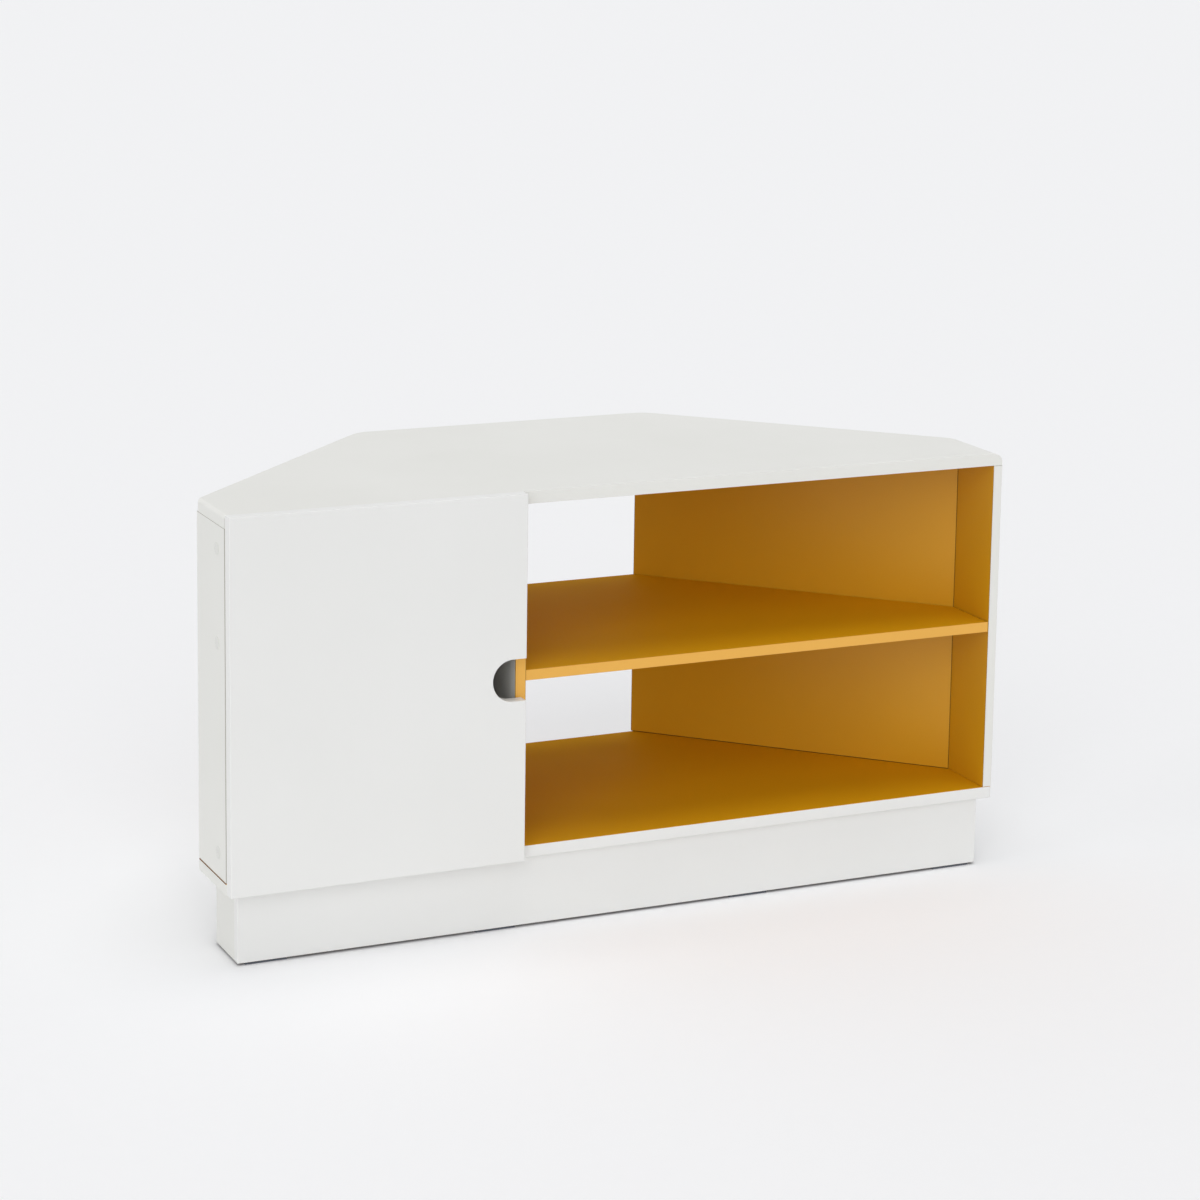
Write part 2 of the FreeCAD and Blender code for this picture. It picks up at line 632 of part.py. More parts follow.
# Plinth frame under the base
PLINTH_X = f"({HALF} - plinth_inset)"
PLINTH_FRONT = f"({FRONT} + plinth_setback)"
PLINTH_INNER = f"({PLINTH_FRONT} + plinth_thickness)"
PLINTH_END = f"({PLINTH_FRONT} + plinth_return)"
PLINTH_REAR = f"({FRONT} + plinth_rear)"
PLINTH_HEIGHT = f"({BASE_UNDER} - glide_thickness)"
plinth_front = block(
    "plinth_front_board",
    (f"-{PLINTH_X}", PLINTH_FRONT, "glide_thickness"),
    (f"2 * {PLINTH_X}", "plinth_thickness", PLINTH_HEIGHT),
)
keep(plinth_front, "plinth_front")
plinth_ends = (
    ("plinth_left_end", f"-{PLINTH_X}"),
    ("plinth_right_end", f"{PLINTH_X} - plinth_thickness"),
)
for label, x in plinth_ends:
    end = block(
        label + "_board",
        (x, PLINTH_INNER, "glide_thickness"),
        ("plinth_thickness", f"({PLINTH_END} - {PLINTH_INNER})", PLINTH_HEIGHT),
    )
    keep(end, label)

rail_run = f"(({PLINTH_REAR} - {PLINTH_END}) / tan(slant_angle))"
rail_width = "(plinth_thickness / sin(slant_angle))"
rail_plan = [
    (f"({PLINTH_X} - {rail_width})", PLINTH_END),
    (PLINTH_X, PLINTH_END),
    (f"({PLINTH_X} - {rail_run})", PLINTH_REAR),
    (f"({PLINTH_X} - {rail_run} - {rail_width})", PLINTH_REAR),
]
keep(plan_board("right_rail", rail_plan, "glide_thickness", PLINTH_HEIGHT), "plinth_right_rail")
keep(plan_board("left_rail", mirrored(rail_plan), "glide_thickness", PLINTH_HEIGHT), "plinth_left_rail")
plinth_rear = block(
    "plinth_rear_board",
    (f"-({PLINTH_X} - {rail_run})", PLINTH_REAR, "glide_thickness"),
    (f"2 * ({PLINTH_X} - {rail_run})", "plinth_thickness", PLINTH_HEIGHT),
)
keep(plinth_rear, "plinth_rear")
cross_rail = block(
    "cross_rail_board",
    (DIVIDER_LEFT, PLINTH_INNER, "glide_thickness"),
    ("plinth_thickness", f"({PLINTH_REAR} - {PLINTH_INNER})", PLINTH_HEIGHT),
)
keep(cross_rail, "plinth_cross_rail")
corner_blocks = []
for x in (f"plinth_thickness - {PLINTH_X}", f"{PLINTH_X} - plinth_thickness - block_size"):
    corner_blocks.append(block(
        "corner_block",
        (x, PLINTH_INNER, f"({BASE_UNDER} - block_size)"),
        ("block_size", "block_size", "block_size"),
    ))
keep(group("corner_blocks", corner_blocks), "plinth_corner_blocks")

# Glides under the plinth boards
glides = []
front_glide_y = f"({PLINTH_FRONT} + plinth_thickness / 2 - glide_width / 2)"
rear_glide_y = f"({PLINTH_REAR} + plinth_thickness / 2 - glide_width / 2)"
for y, spot in ((front_glide_y, f"({PLINTH_X} * inner_glide_share)"),
                (front_glide_y, f"({PLINTH_X} - outer_glide_distance)"),
                (rear_glide_y, f"(({PLINTH_X} - {rail_run}) * rear_glide_share)")):
    for sign in ("-", ""):
        glides.append(block("glide", (f"({sign}{spot}) - glide_length / 2", y, "0"),
                            ("glide_length", "glide_width", "glide_thickness")))
keep(group("glides", glides), "floor_glides")

# Check and write every sub-part
doc.recompute()
for item in doc.Objects:
    if "Invalid" in item.State or "Error" in item.State:
        raise RuntimeError(f"{item.Label} did not compute: {item.State}")
os.makedirs("parts", exist_ok=True)
for item in finished:
    if item.Shape.isNull() or not item.Shape.isValid() or not item.Shape.Solids:
        raise RuntimeError(f"{item.Label} has no valid solid")
    item.Shape.exportStep(f"parts/{item.Label}.step")
print(len(finished), "sub-parts written")
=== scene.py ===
import math

import bmesh
import bpy
from bpy.props import FloatProperty, FloatVectorProperty, PointerProperty
from mathutils import Matrix, Vector


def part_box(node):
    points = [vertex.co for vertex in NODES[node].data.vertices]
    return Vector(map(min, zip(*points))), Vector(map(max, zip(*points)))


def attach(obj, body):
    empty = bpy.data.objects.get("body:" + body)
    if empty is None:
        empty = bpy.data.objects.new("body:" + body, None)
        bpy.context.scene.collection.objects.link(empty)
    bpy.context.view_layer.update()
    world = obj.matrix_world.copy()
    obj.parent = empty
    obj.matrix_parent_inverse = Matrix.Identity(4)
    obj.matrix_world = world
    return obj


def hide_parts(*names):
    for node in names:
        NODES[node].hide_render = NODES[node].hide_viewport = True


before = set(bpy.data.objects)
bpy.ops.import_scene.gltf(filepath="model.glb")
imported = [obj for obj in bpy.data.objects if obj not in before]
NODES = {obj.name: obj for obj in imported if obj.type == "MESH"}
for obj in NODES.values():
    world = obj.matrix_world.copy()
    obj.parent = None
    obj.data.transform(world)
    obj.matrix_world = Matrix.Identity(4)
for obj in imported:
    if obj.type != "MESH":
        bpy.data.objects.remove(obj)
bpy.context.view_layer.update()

bl_info = {
    "name": "Corner TV Cabinet",
    "version": (1, 0, 0),
    "blender": (4, 5, 0),
    "location": "View3D > Sidebar > Cabinet",
    "description": "Dresses a packed corner television cabinet with boards, finishes, stage and camera",
    "category": "Object",
}

TOP_LOW, TOP_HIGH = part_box("top_panel")
BASE_LOW, BASE_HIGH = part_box("base_panel")
DOOR_LOW, DOOR_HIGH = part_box("door_panel")
SIDE_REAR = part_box("right_side_panel")[1].y

# Tolerances in metres, and angles in degrees, for finding edges and merging copies
NEAR = 0.0001
DOOR_NEAR = 0.00005
SHELF_NEAR = 0.0005
MERGE_DISTANCE = 0.000005
FLAT_ANGLE = 0.5
SHARP_ANGLE = 40.0
CREASE_ANGLE = 50.0

# Part of a face's normal along an axis when the face is flat to it, looks or leans that way
FLAT = 0.99
LOOKS = 0.9
LEANS = 0.2
SLANT_LOOKS = 1.4
FRONT_LEANS = -0.3
UPRIGHT = 0.5

# Steps of the rounded corners
PLAN_SEGMENTS_LEAST = 4
PLAN_SEGMENTS_PER_METRE = 250.0
RIM_SEGMENTS = 6
FINE_SEGMENTS = 3

# Shares of the end rounding round the rim of the top, plan turns and headings in degrees
RIGHT_END_SHARE = 1.0
LEFT_END_SHARE = 0.40
SLANT_SHARE = 0.33
REAR_SHARE = 0.22
FRONT_TURN = 90.0
SLANT_TURN = 45.0
END_HEADING = 90.0
SLANT_HEADING = END_HEADING + SLANT_TURN

# Light, floor and camera, with angles in degrees
LAMPS = (
    ("Window light", 0.97, 50.0, (0.40, 0.80, -0.42)),
    ("Side light", 0.33, 40.0, (0.97, 0.0, -0.25)),
    ("Ceiling light", 0.93, 40.0, (0.0, 0.05, -1.0)),
)
FILL_TINT = (0.98, 0.99, 1.0)
FILL_STRENGTH = 0.465
FLOOR_GLOW = 0.036
FLOOR_ROUGHNESS = 0.9
CAMERA_PLACE = (-1.911257, -4.30449, 1.585337)
CAMERA_YAW, CAMERA_PITCH, CAMERA_ROLL = 24.487, 9.815, -0.83
SENSOR_WIDTH = 36.0
LENS_LENGTH = 98.423
LENS_SHIFT = -0.2


def length(name, description, default):
    return FloatProperty(name=name, description=description, default=default,
                         min=0.0, precision=4, unit="LENGTH")


def tint(name, description, default):
    return FloatVectorProperty(name=name, description=description, default=default, size=3,
                               min=0.0, max=1.0, subtype="COLOR")


class CabinetSizes(bpy.types.PropertyGroup):
    """Roundings of the boards and the spread of the stage"""

    end_rounding: length("End rounding", "Rounding over the right end of the top", 0.0168)
    top_edge: length("Top edge", "Easing along the other edges of the top", 0.0005)
    under_margin: length("Under margin", "White margin round the underside of the top", 0.003)
    # These eased edges take the painted seam shade
    seam_edge: length("Seam edge", "Easing where boards meet in the niche", 0.0014)
    board_edge: length("Board edge", "Easing along the edges of the boards", 0.0008)
    band_edge: length("Band edge", "Easing along the edge bands", 0.00056)
    # The base's eased upper rims carry the painted gap shade
    base_rim_edge: length("Core edge", "Easing of the base, which shows its core at the ends", 0.0018)
    door_edge: length("Door edge", "Easing along the edges of the door", 0.0010)
    hardware_edge: length("Hardware edge", "Easing of metal and plastic pieces", 0.00025)
    pad_edge: length("Pad edge", "Easing of glides and bumpers", 0.00075)
    short_edge: length("Short edge", "Hinge edges up to this length stay sharp", 0.003)
    arm_shoulder: length("Arm shoulder", "Front of a hinge arm to its shoulder", 0.0045)
    arm_relief: length("Arm relief", "Room that a hinge arm leaves for its cup when open", 0.0006)
    side_corner: length("Side corner", "Plan rounding of the top where side meets slant", 0.018)
    rear_corner: length("Rear corner", "Plan rounding at the rear corners of the top", 0.045)
    base_corner: length("Base corner", "Plan rounding at the corners of the base", 0.003)
    floor_size: length("Floor size", "Edge of the square floor", 60.0)


class CabinetColours(bpy.types.PropertyGroup):
    """Finishes of the cabinet, and the painted shade of its gaps"""

    white: tint("White", "Melamine of the carcass", (0.815, 0.813, 0.775))
    white_shade: tint("White shade", "Darker specks of the carcass", (0.765, 0.762, 0.722))
    door_white: tint("Door white", "Melamine of the door and front edges", (0.845, 0.845, 0.828))
    door_shade: tint("Door shade", "Darker specks of the door", (0.80, 0.80, 0.78))
    mustard: tint("Mustard", "Melamine in the open niche", (0.66, 0.335, 0.005))
    mustard_shade: tint("Mustard shade", "Darker specks of the mustard", (0.60, 0.295, 0.004))
    band: tint("Edge band", "Band on the front of shelf and divider", (0.85, 0.455, 0.085))
    band_shade: tint("Edge band shade", "Darker streaks of the band", (0.79, 0.41, 0.068))
    # Painted shade: dark colour standing in for the shade of the gaps where the sides stand on the base
    core: tint("Gap shade", "Thin line of bare core along the base", (0.20, 0.085, 0.010))
    gap_shade_flakes: tint("Core shade", "Darker flakes of the core", (0.14, 0.058, 0.007))
    # Painted shade: dark colour on the eased edges where boards meet in the niche, standing in for the
    # shade of the thin gaps there
    seam: tint("Seam", "Dark line where boards meet in the niche", (0.17, 0.085, 0.015))
    seam_gap_shade_flakes: tint("Seam shade", "Darker flakes of the seam", (0.12, 0.06, 0.010))
    # Painted shade: grey colour standing in for the shade of the gaps under the top and behind the door
    joint_gap_shade: tint("Joint", "Line under the top and behind the door", (0.45, 0.43, 0.38))
    joint_gap_shade_flakes: tint("Joint shade", "Darker flakes of that line", (0.37, 0.35, 0.31))
    # Raw board, painted near black as the shade in the gap under the plinth
    raw_edge_and_shade: tint("Raw edge", "Unfaced edges under the plinth", (0.085, 0.062, 0.045))
    raw_and_shade_flakes: tint("Raw edge shade", "Darker flakes under the plinth", (0.055, 0.040, 0.030))
    beech: tint("Beech", "Dowels and glue blocks", (0.58, 0.40, 0.23))
    nickel: tint("Nickel", "Hinges, cams and screws", (0.62, 0.61, 0.59))
    cap: tint("Cap", "Round cover caps", (0.79, 0.79, 0.75))
    bumper: tint("Bumper", "Soft door bumpers", (0.70, 0.71, 0.71))
    glide: tint("Glide", "Pads under the plinth", (0.115, 0.125, 0.15))
    floor: tint("Floor", "Pale floor", (0.93, 0.93, 0.94))
    backdrop: tint("Backdrop", "Pale background", (0.88, 0.88, 0.896))


# Shader groups shared by the finishes
def new_group(name, inputs, outputs):
    group = bpy.data.node_groups.new(name, "ShaderNodeTree")
    for label, kind, value in inputs:
        socket = group.interface.new_socket(label, in_out="INPUT", socket_type=kind)
        if value is not None:
            socket.default_value = value
    for label, kind in outputs:
        group.interface.new_socket(label, in_out="OUTPUT", socket_type=kind)
    return group, group.nodes.new("NodeGroupInput"), group.nodes.new("NodeGroupOutput")


def noise(tree, vector, scale, detail, roughness=0.5):
    node = tree.nodes.new("ShaderNodeTexNoise")
    node.inputs["Scale"].default_value = scale
    node.inputs["Detail"].default_value = detail
    node.inputs["Roughness"].default_value = roughness
    tree.links.new(vector, node.inputs["Vector"])
    return node.outputs["Fac"]


def stretched(tree, vector, scale):
    node = tree.nodes.new("ShaderNodeMapping")
    node.inputs["Scale"].default_value = scale
    tree.links.new(vector, node.inputs["Vector"])
    return node.outputs["Vector"]


def remap(tree, value, source, target):
    """Value moved from the source range to the target range."""
    node = tree.nodes.new("ShaderNodeMapRange")
    node.inputs["From Min"].default_value, node.inputs["From Max"].default_value = source
    node.inputs["To Min"].default_value, node.inputs["To Max"].default_value = target
    tree.links.new(value, node.inputs["Value"])
    return node.outputs["Result"]


def calculate(tree, operation, first, second):
    node = tree.nodes.new("ShaderNodeMath")
    node.operation = operation
    for socket, value in zip(node.inputs, (first, second)):
        if isinstance(value, (int, float)):
            socket.default_value = value
        else:
            tree.links.new(value, socket)
    return node.outputs["Value"]


def mix_colour(tree, factor, first, second):
    node = tree.nodes.new("ShaderNodeMix")
    node.data_type = "RGBA"
    tree.links.new(factor, node.inputs["Factor"])
    for label, value in (("A", first), ("B", second)):
        socket = next(item for item in node.inputs if item.name == label and item.type == "RGBA")
        if hasattr(value, "is_output"):
            tree.links.new(value, socket)
        else:
            socket.default_value = (*value, 1.0)
    return next(item for item in node.outputs if item.type == "RGBA")


def melamine_group():
    """Pearl grain of faced board: fine dimples, faint specks and slow cloudy drift."""
    found = bpy.data.node_groups.get("Melamine pearl")
    if found:
        return found
    group, entry, leave = new_group(
        "Melamine pearl",
        [("Vector", "NodeSocketVector", None), ("Colour", "NodeSocketColor", None),
         ("Shade", "NodeSocketColor", None), ("Roughness", "NodeSocketFloat", 0.42)],
        [("Colour", "NodeSocketColor"), ("Roughness", "NodeSocketFloat"),
         ("Height", "NodeSocketFloat")],
    )
    vector = entry.outputs["Vector"]
    dimples = noise(group, vector, scale=520.0, detail=2.0, roughness=0.55)
    specks = noise(group, vector, scale=1400.0, detail=1.0)
    drift = noise(group, vector, scale=3.5, detail=3.0)
    speck_mask = remap(group, specks, source=(0.56, 0.72), target=(0.0, 0.35))
    drift_mask = remap(group, drift, source=(0.35, 0.70), target=(0.0, 0.40))
    mask = calculate(group, "MAXIMUM", speck_mask, drift_mask)
    colour = mix_colour(group, mask, entry.outputs["Colour"], entry.outputs["Shade"])
    gloss = remap(group, drift, source=(0.3, 0.7), target=(-0.04, 0.05))
    grain = remap(group, dimples, source=(0.3, 0.7), target=(-0.03, 0.03))
    uneven = calculate(group, "ADD", gloss, grain)
    rough = calculate(group, "ADD", entry.outputs["Roughness"], uneven)
    group.links.new(colour, leave.inputs["Colour"])
    group.links.new(rough, leave.inputs["Roughness"])
    group.links.new(dimples, leave.inputs["Height"])
    return group


def plating_group():
    """Fine drawn lines and cloudy plating for the metal pieces."""
    found = bpy.data.node_groups.get("Plated metal")
    if found:
        return found
    group, entry, leave = new_group(
        "Plated metal",
        [("Vector", "NodeSocketVector", None), ("Colour", "NodeSocketColor", None),
         ("Shade", "NodeSocketColor", None)],
        [("Colour", "NodeSocketColor"), ("Roughness", "NodeSocketFloat"),
         ("Height", "NodeSocketFloat")],
    )
    vector = entry.outputs["Vector"]
    drawing = stretched(group, vector, scale=(1.0, 0.08, 1.0))
    lines = noise(group, drawing, scale=1800.0, detail=2.0)
    cloud = noise(group, vector, scale=90.0, detail=3.0)
    mask = remap(group, cloud, source=(0.35, 0.7), target=(0.0, 0.6))
    colour = mix_colour(group, mask, entry.outputs["Colour"], entry.outputs["Shade"])
    drawn = remap(group, lines, source=(0.3, 0.7), target=(0.22, 0.34))
    dulled = remap(group, cloud, source=(0.3, 0.7), target=(0.0, 0.06))
    rough = calculate(group, "ADD", drawn, dulled)
    group.links.new(colour, leave.inputs["Colour"])
    group.links.new(rough, leave.inputs["Roughness"])
    group.links.new(lines, leave.inputs["Height"])
    return group


# Materials
def start_material(name):
    material = bpy.data.materials.new(name)
    material.use_nodes = True
    tree = material.node_tree
    place = tree.nodes.new("ShaderNodeTexCoord")
    return material, tree, tree.nodes["Principled BSDF"], place.outputs["Object"]


def use_group(tree, group, vector, **values):
    node = tree.nodes.new("ShaderNodeGroup")
    node.node_tree = group
    tree.links.new(vector, node.inputs["Vector"])
    for label, value in values.items():
        socket = node.inputs[label]
        socket.default_value = (*value, 1.0) if socket.type == "RGBA" else value
    return node


def add_bump(tree, shader, height, strength, distance):
    bump = tree.nodes.new("ShaderNodeBump")
    bump.inputs["Strength"].default_value = strength
    bump.inputs["Distance"].default_value = distance
    tree.links.new(height, bump.inputs["Height"])
    tree.links.new(bump.outputs["Normal"], shader.inputs["Normal"])


def toned(colour, share):
    return tuple(min(1.0, channel * share) for channel in colour)


def melamine(name, colour, shade, roughness, gloss):
    """Faced board in one colour, made once and then found by its name."""
    found = bpy.data.materials.get(name)
    if found:
        return found
    material, tree, shader, place = start_material(name)
    pearl = use_group(tree, melamine_group(), place, Colour=colour, Shade=shade,
                      Roughness=roughness)
    tree.links.new(pearl.outputs["Colour"], shader.inputs["Base Color"])
    tree.links.new(pearl.outputs["Roughness"], shader.inputs["Roughness"])
    shader.inputs["Specular IOR Level"].default_value = gloss
    add_bump(tree, shader, pearl.outputs["Height"], strength=0.18, distance=0.0004)
    return material


def white_board(colours):
    return melamine("White melamine", colours.white, colours.white_shade,
                    roughness=0.42, gloss=0.40)


def white_door(colours):
    return melamine("White door melamine", colours.door_white, colours.door_shade,
                    roughness=0.40, gloss=0.40)


def mustard_board(colours):
    return melamine("Mustard melamine", colours.mustard, colours.mustard_shade,
                    roughness=0.70, gloss=0.05)


def mustard_satin(colours):
    return melamine("Satin mustard melamine", colours.mustard, colours.mustard_shade,
                    roughness=0.40, gloss=0.50)


def edge_band(colours):
    return melamine("Mustard edge band", colours.band, colours.band_shade,
                    roughness=0.38, gloss=0.30)


# Material of the painted gap shade on the base's upper rims
def gap_shade_line(colours):
    return melamine("Board core", colours.core, colours.gap_shade_flakes, roughness=0.80, gloss=0.15)


# Material of the painted seam shade
def seam_gap_shade_line(colours):
    return melamine("Board seam", colours.seam, colours.seam_gap_shade_flakes, roughness=0.85, gloss=0.10)


# Material of the painted gap shade under the top and behind the door
def joint_gap_shade_line(colours):
    return melamine("White board joint", colours.joint_gap_shade, colours.joint_gap_shade_flakes,
                    roughness=0.80, gloss=0.15)


# Material of the raw underside, painted darker as the shade under the plinth
def raw_edge_and_shade(colours):
    return melamine("Raw board edge and shade", colours.raw_edge_and_shade, colours.raw_and_shade_flakes,
                    roughness=0.85, gloss=0.10)


def nickel_plate(colours):
    found = bpy.data.materials.get("Nickel plate")
    if found:
        return found
    material, tree, shader, place = start_material("Nickel plate")
    plating = use_group(tree, plating_group(), place, Colour=colours.nickel,
                        Shade=toned(colours.nickel, share=0.82))
    tree.links.new(plating.outputs["Colour"], shader.inputs["Base Color"])
    tree.links.new(plating.outputs["Roughness"], shader.inputs["Roughness"])
    shader.inputs["Metallic"].default_value = 1.0
    add_bump(tree, shader, plating.outputs["Height"], strength=0.12, distance=0.0001)
    return material


def soft_plastic(name, colour, roughness, grain_scale, roughness_play=0.06):
    material, tree, shader, place = start_material(name)
    grain = noise(tree, place, scale=grain_scale, detail=3.0)
    mask = remap(tree, grain, source=(0.4, 0.65), target=(0.0, 1.0))
    uneven = remap(tree, grain, source=(0.3, 0.7),
                   target=(roughness - roughness_play, roughness + roughness_play))
    grained = mix_colour(tree, mask, colour, toned(colour, share=0.90))
    tree.links.new(grained, shader.inputs["Base Color"])
    tree.links.new(uneven, shader.inputs["Roughness"])
    add_bump(tree, shader, grain, strength=0.2, distance=0.0003)
    return material


def bare_wood(name, colour, along):
    material, tree, shader, place = start_material(name)
    fibre = noise(tree, stretched(tree, place, along), scale=260.0, detail=5.0, roughness=0.6)
    mask = remap(tree, fibre, source=(0.38, 0.66), target=(0.0, 1.0))
    uneven = remap(tree, fibre, source=(0.3, 0.7), target=(0.55, 0.72))
    grained = mix_colour(tree, mask, colour, toned(colour, share=0.68))
    tree.links.new(grained, shader.inputs["Base Color"])
    tree.links.new(uneven, shader.inputs["Roughness"])
    add_bump(tree, shader, fibre, strength=0.25, distance=0.0003)
    return material


# Mesh helpers
def prism(outline, low, high):
    mesh = bmesh.new()
    face = mesh.faces.new([mesh.verts.new((x, y, low)) for x, y in outline])
    raised = bmesh.ops.extrude_face_region(mesh, geom=[face])
    verts = [item for item in raised["geom"] if isinstance(item, bmesh.types.BMVert)]
    bmesh.ops.translate(mesh, verts=verts, vec=(0.0, 0.0, high - low))
    bmesh.ops.recalc_face_normals(mesh, faces=mesh.faces)
    return mesh


def plank(low, high):
    plan = [(low.x, low.y), (high.x, low.y), (high.x, high.y), (low.x, high.y)]
    return prism(plan, low.z, high.z)


def ease(mesh, edges, offset, segments=2, material=-1):
    bmesh.ops.bevel(mesh, geom=edges, offset=offset, offset_type="OFFSET", affect="EDGES",
                    segments=segments, profile=0.5, material=material)


def sharp_edges(mesh, angle=SHARP_ANGLE):
    limit = math.radians(angle)
    return [edge for edge in mesh.edges if edge.is_manifold and edge.calc_face_angle(0.0) > limit]


def middle(edge):
    return (edge.verts[0].co + edge.verts[1].co) / 2.0


def merged_copy(node):
    """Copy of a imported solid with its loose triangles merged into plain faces."""
    mesh = bmesh.new()
    mesh.from_mesh(NODES[node].data)
    bmesh.ops.remove_doubles(mesh, verts=mesh.verts, dist=MERGE_DISTANCE)
    bmesh.ops.dissolve_limit(mesh, angle_limit=math.radians(FLAT_ANGLE), verts=mesh.verts,
                             edges=mesh.edges)
    return mesh


def paint(mesh, index, test):
    for face in mesh.faces:
        if test(face):
            face.material_index = index


def finish_piece(name, mesh, materials, body, node, bevels=()):
    """Turn a bmesh into a piece that stands for a node and rides on its body."""
    data = bpy.data.meshes.new(name)
    mesh.normal_update()
    for face in mesh.faces:
        face.smooth = True
    if not bevels:
        for edge in sharp_edges(mesh, CREASE_ANGLE):
            edge.smooth = False
    mesh.to_mesh(data)
    mesh.free()
    for material in materials:
        data.materials.append(material)
    piece = bpy.data.objects.new(name, data)
    bpy.context.scene.collection.objects.link(piece)
    for label, limit, width, segments in bevels:
        bevel = piece.modifiers.new(label, "BEVEL")
        bevel.limit_method = limit
        bevel.angle_limit = math.radians(SHARP_ANGLE)
        bevel.width = width
        bevel.segments = segments
        bevel.use_clamp_overlap = False
    even = piece.modifiers.new("Even normals", "WEIGHTED_NORMAL")
    even.mode = "FACE_AREA"
    even.keep_sharp = True
    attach(piece, body)
    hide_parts(node)


def dress(node, material):
    data = NODES[node].data
    data.materials.clear()
    data.materials.append(material)


def six_sided_board(low, high, plan_roundings):
    """Six-sided board with each pair of plan corners rounded, from the front to the rear."""
    half = high.x
    rear_half = half - (high.y - SIDE_REAR)
    right = [(half, low.y), (half, SIDE_REAR), (rear_half, high.y)]
    left = [(-x, y) for x, y in reversed(right)]
    mesh = prism(right + left, low.z, high.z)
    for (x, y), radius, bend in zip(right, plan_roundings, (FRONT_TURN, SLANT_TURN, SLANT_TURN)):
        upright = [
            edge for edge in mesh.edges
            if abs(edge.verts[0].co.z - edge.verts[1].co.z) > (high.z - low.z) / 2.0
            and abs(middle(edge).y - y) < NEAR and abs(abs(middle(edge).x) - x) < NEAR
        ]
        if len(upright) != 2:
            raise RuntimeError("a plan corner of a board was not found")
        if radius > 0.0:
            steps = max(PLAN_SEGMENTS_LEAST, round(radius * PLAN_SEGMENTS_PER_METRE))
            ease(mesh, upright, radius * math.tan(math.radians(bend) / 2.0), steps)
    return mesh


def rim_share(facing):
    """Share of the end rounding on a rim edge, by the way that its wall faces."""
    heading = math.degrees(math.atan2(abs(facing.x), -facing.y))
    end = RIGHT_END_SHARE if facing.x > 0.0 else LEFT_END_SHARE
    if heading < SLANT_TURN:
        return 0.0
    if heading < SLANT_HEADING:
        past_end = max(0.0, heading - END_HEADING)
        return end + (SLANT_SHARE - end) * past_end / SLANT_TURN
    return SLANT_SHARE + (REAR_SHARE - SLANT_SHARE) * (heading - SLANT_HEADING) / SLANT_TURN


class CABINET_OT_top(bpy.types.Operator):
    """Top board, rounded over its ends, white above and mustard below"""

    bl_idname = "cabinet.top"
    bl_label = "Top"

    def execute(self, context):
        sizes, colours = context.scene.cabinet_sizes, context.scene.cabinet_colours
        mesh = six_sided_board(TOP_LOW, TOP_HIGH, (0.0, sizes.side_corner, sizes.rear_corner))
        under = [face for face in mesh.faces if face.normal.z < -LOOKS]
        bmesh.ops.inset_individual(mesh, faces=under, thickness=sizes.under_margin)
        materials = [white_board(colours), mustard_board(colours)]
        for face in under:
            face.material_index = 1
        share = mesh.edges.layers.float.new("bevel_weight_edge")
        for edge in mesh.edges:
            if min(vert.co.z for vert in edge.verts) > TOP_HIGH.z - NEAR:
                wall = next(face for face in edge.link_faces if abs(face.normal.z) < UPRIGHT)
                edge[share] = rim_share(wall.normal)
        bevels = (("End rounding", "WEIGHT", sizes.end_rounding, RIM_SEGMENTS),
                  ("Edge easing", "ANGLE", sizes.top_edge, FINE_SEGMENTS))
        finish_piece("top_board", mesh, materials, "carcass", "top_panel", bevels)
        return {"FINISHED"}


class CABINET_OT_base(bpy.types.Operator):
    """Base board, mustard above, white round its edge, with painted gap shade as a dark line along its
    upper rims except at the front
    """

    bl_idname = "cabinet.base"
    bl_label = "Base"

    def execute(self, context):
        sizes, colours = context.scene.cabinet_sizes, context.scene.cabinet_colours
        mesh = six_sided_board(BASE_LOW, BASE_HIGH, (sizes.base_corner,) * 3)
        ease(mesh, sharp_edges(mesh), sizes.base_rim_edge)
        materials = [white_board(colours), mustard_board(colours), gap_shade_line(colours),
                     white_door(colours)]
        mustard, core, front = range(1, len(materials))
        paint(mesh, mustard, lambda face: face.normal.z > LEANS)
        # Painted shade: the upper rims, except at the front, take a dark colour for the shade of the
        # gaps above them
        paint(mesh, core, lambda face: LEANS < face.normal.z < FLAT and face.normal.y > FRONT_LEANS)
        paint(mesh, front, lambda face: face.normal.y < -LOOKS)
        finish_piece("base_board", mesh, materials, "carcass", "base_panel")
        return {"FINISHED"}


class CABINET_OT_sides(bpy.types.Operator):
    """Short side boards, the right one mustard towards the niche"""

    bl_idname = "cabinet.sides"
    bl_label = "Sides"

    def execute(self, context):
        sizes, colours = context.scene.cabinet_sizes, context.scene.cabinet_colours
        materials = [white_board(colours), mustard_satin(colours), seam_gap_shade_line(colours),
                     joint_gap_shade_line(colours)]
        mustard, seam, joint_gap_shade = range(1, len(materials))
        for side in ("left", "right"):
            mesh = plank(*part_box(f"{side}_side_panel"))
            ease(mesh, sharp_edges(mesh), sizes.board_edge)
            if side == "right":
                paint(mesh, mustard, lambda face: face.normal.x < -LOOKS)
                # Painted seam shade on the right side's inner eased edges
                paint(mesh, seam, lambda face: -LOOKS < face.normal.x < -LEANS)
            else:
                # Painted shade of the gap behind the door, on the left side's front corner edge
                paint(mesh, joint_gap_shade, lambda face: max(face.normal.xy) < -LEANS)
            # Painted shade of the gap under the top, on the upper eased edges of both sides
            paint(mesh, joint_gap_shade, lambda face: LEANS < face.normal.z < LOOKS
                  and face.material_index != seam)
            finish_piece(f"{side}_side_board", mesh, materials, "carcass",
                         f"{side}_side_panel")
        return {"FINISHED"}


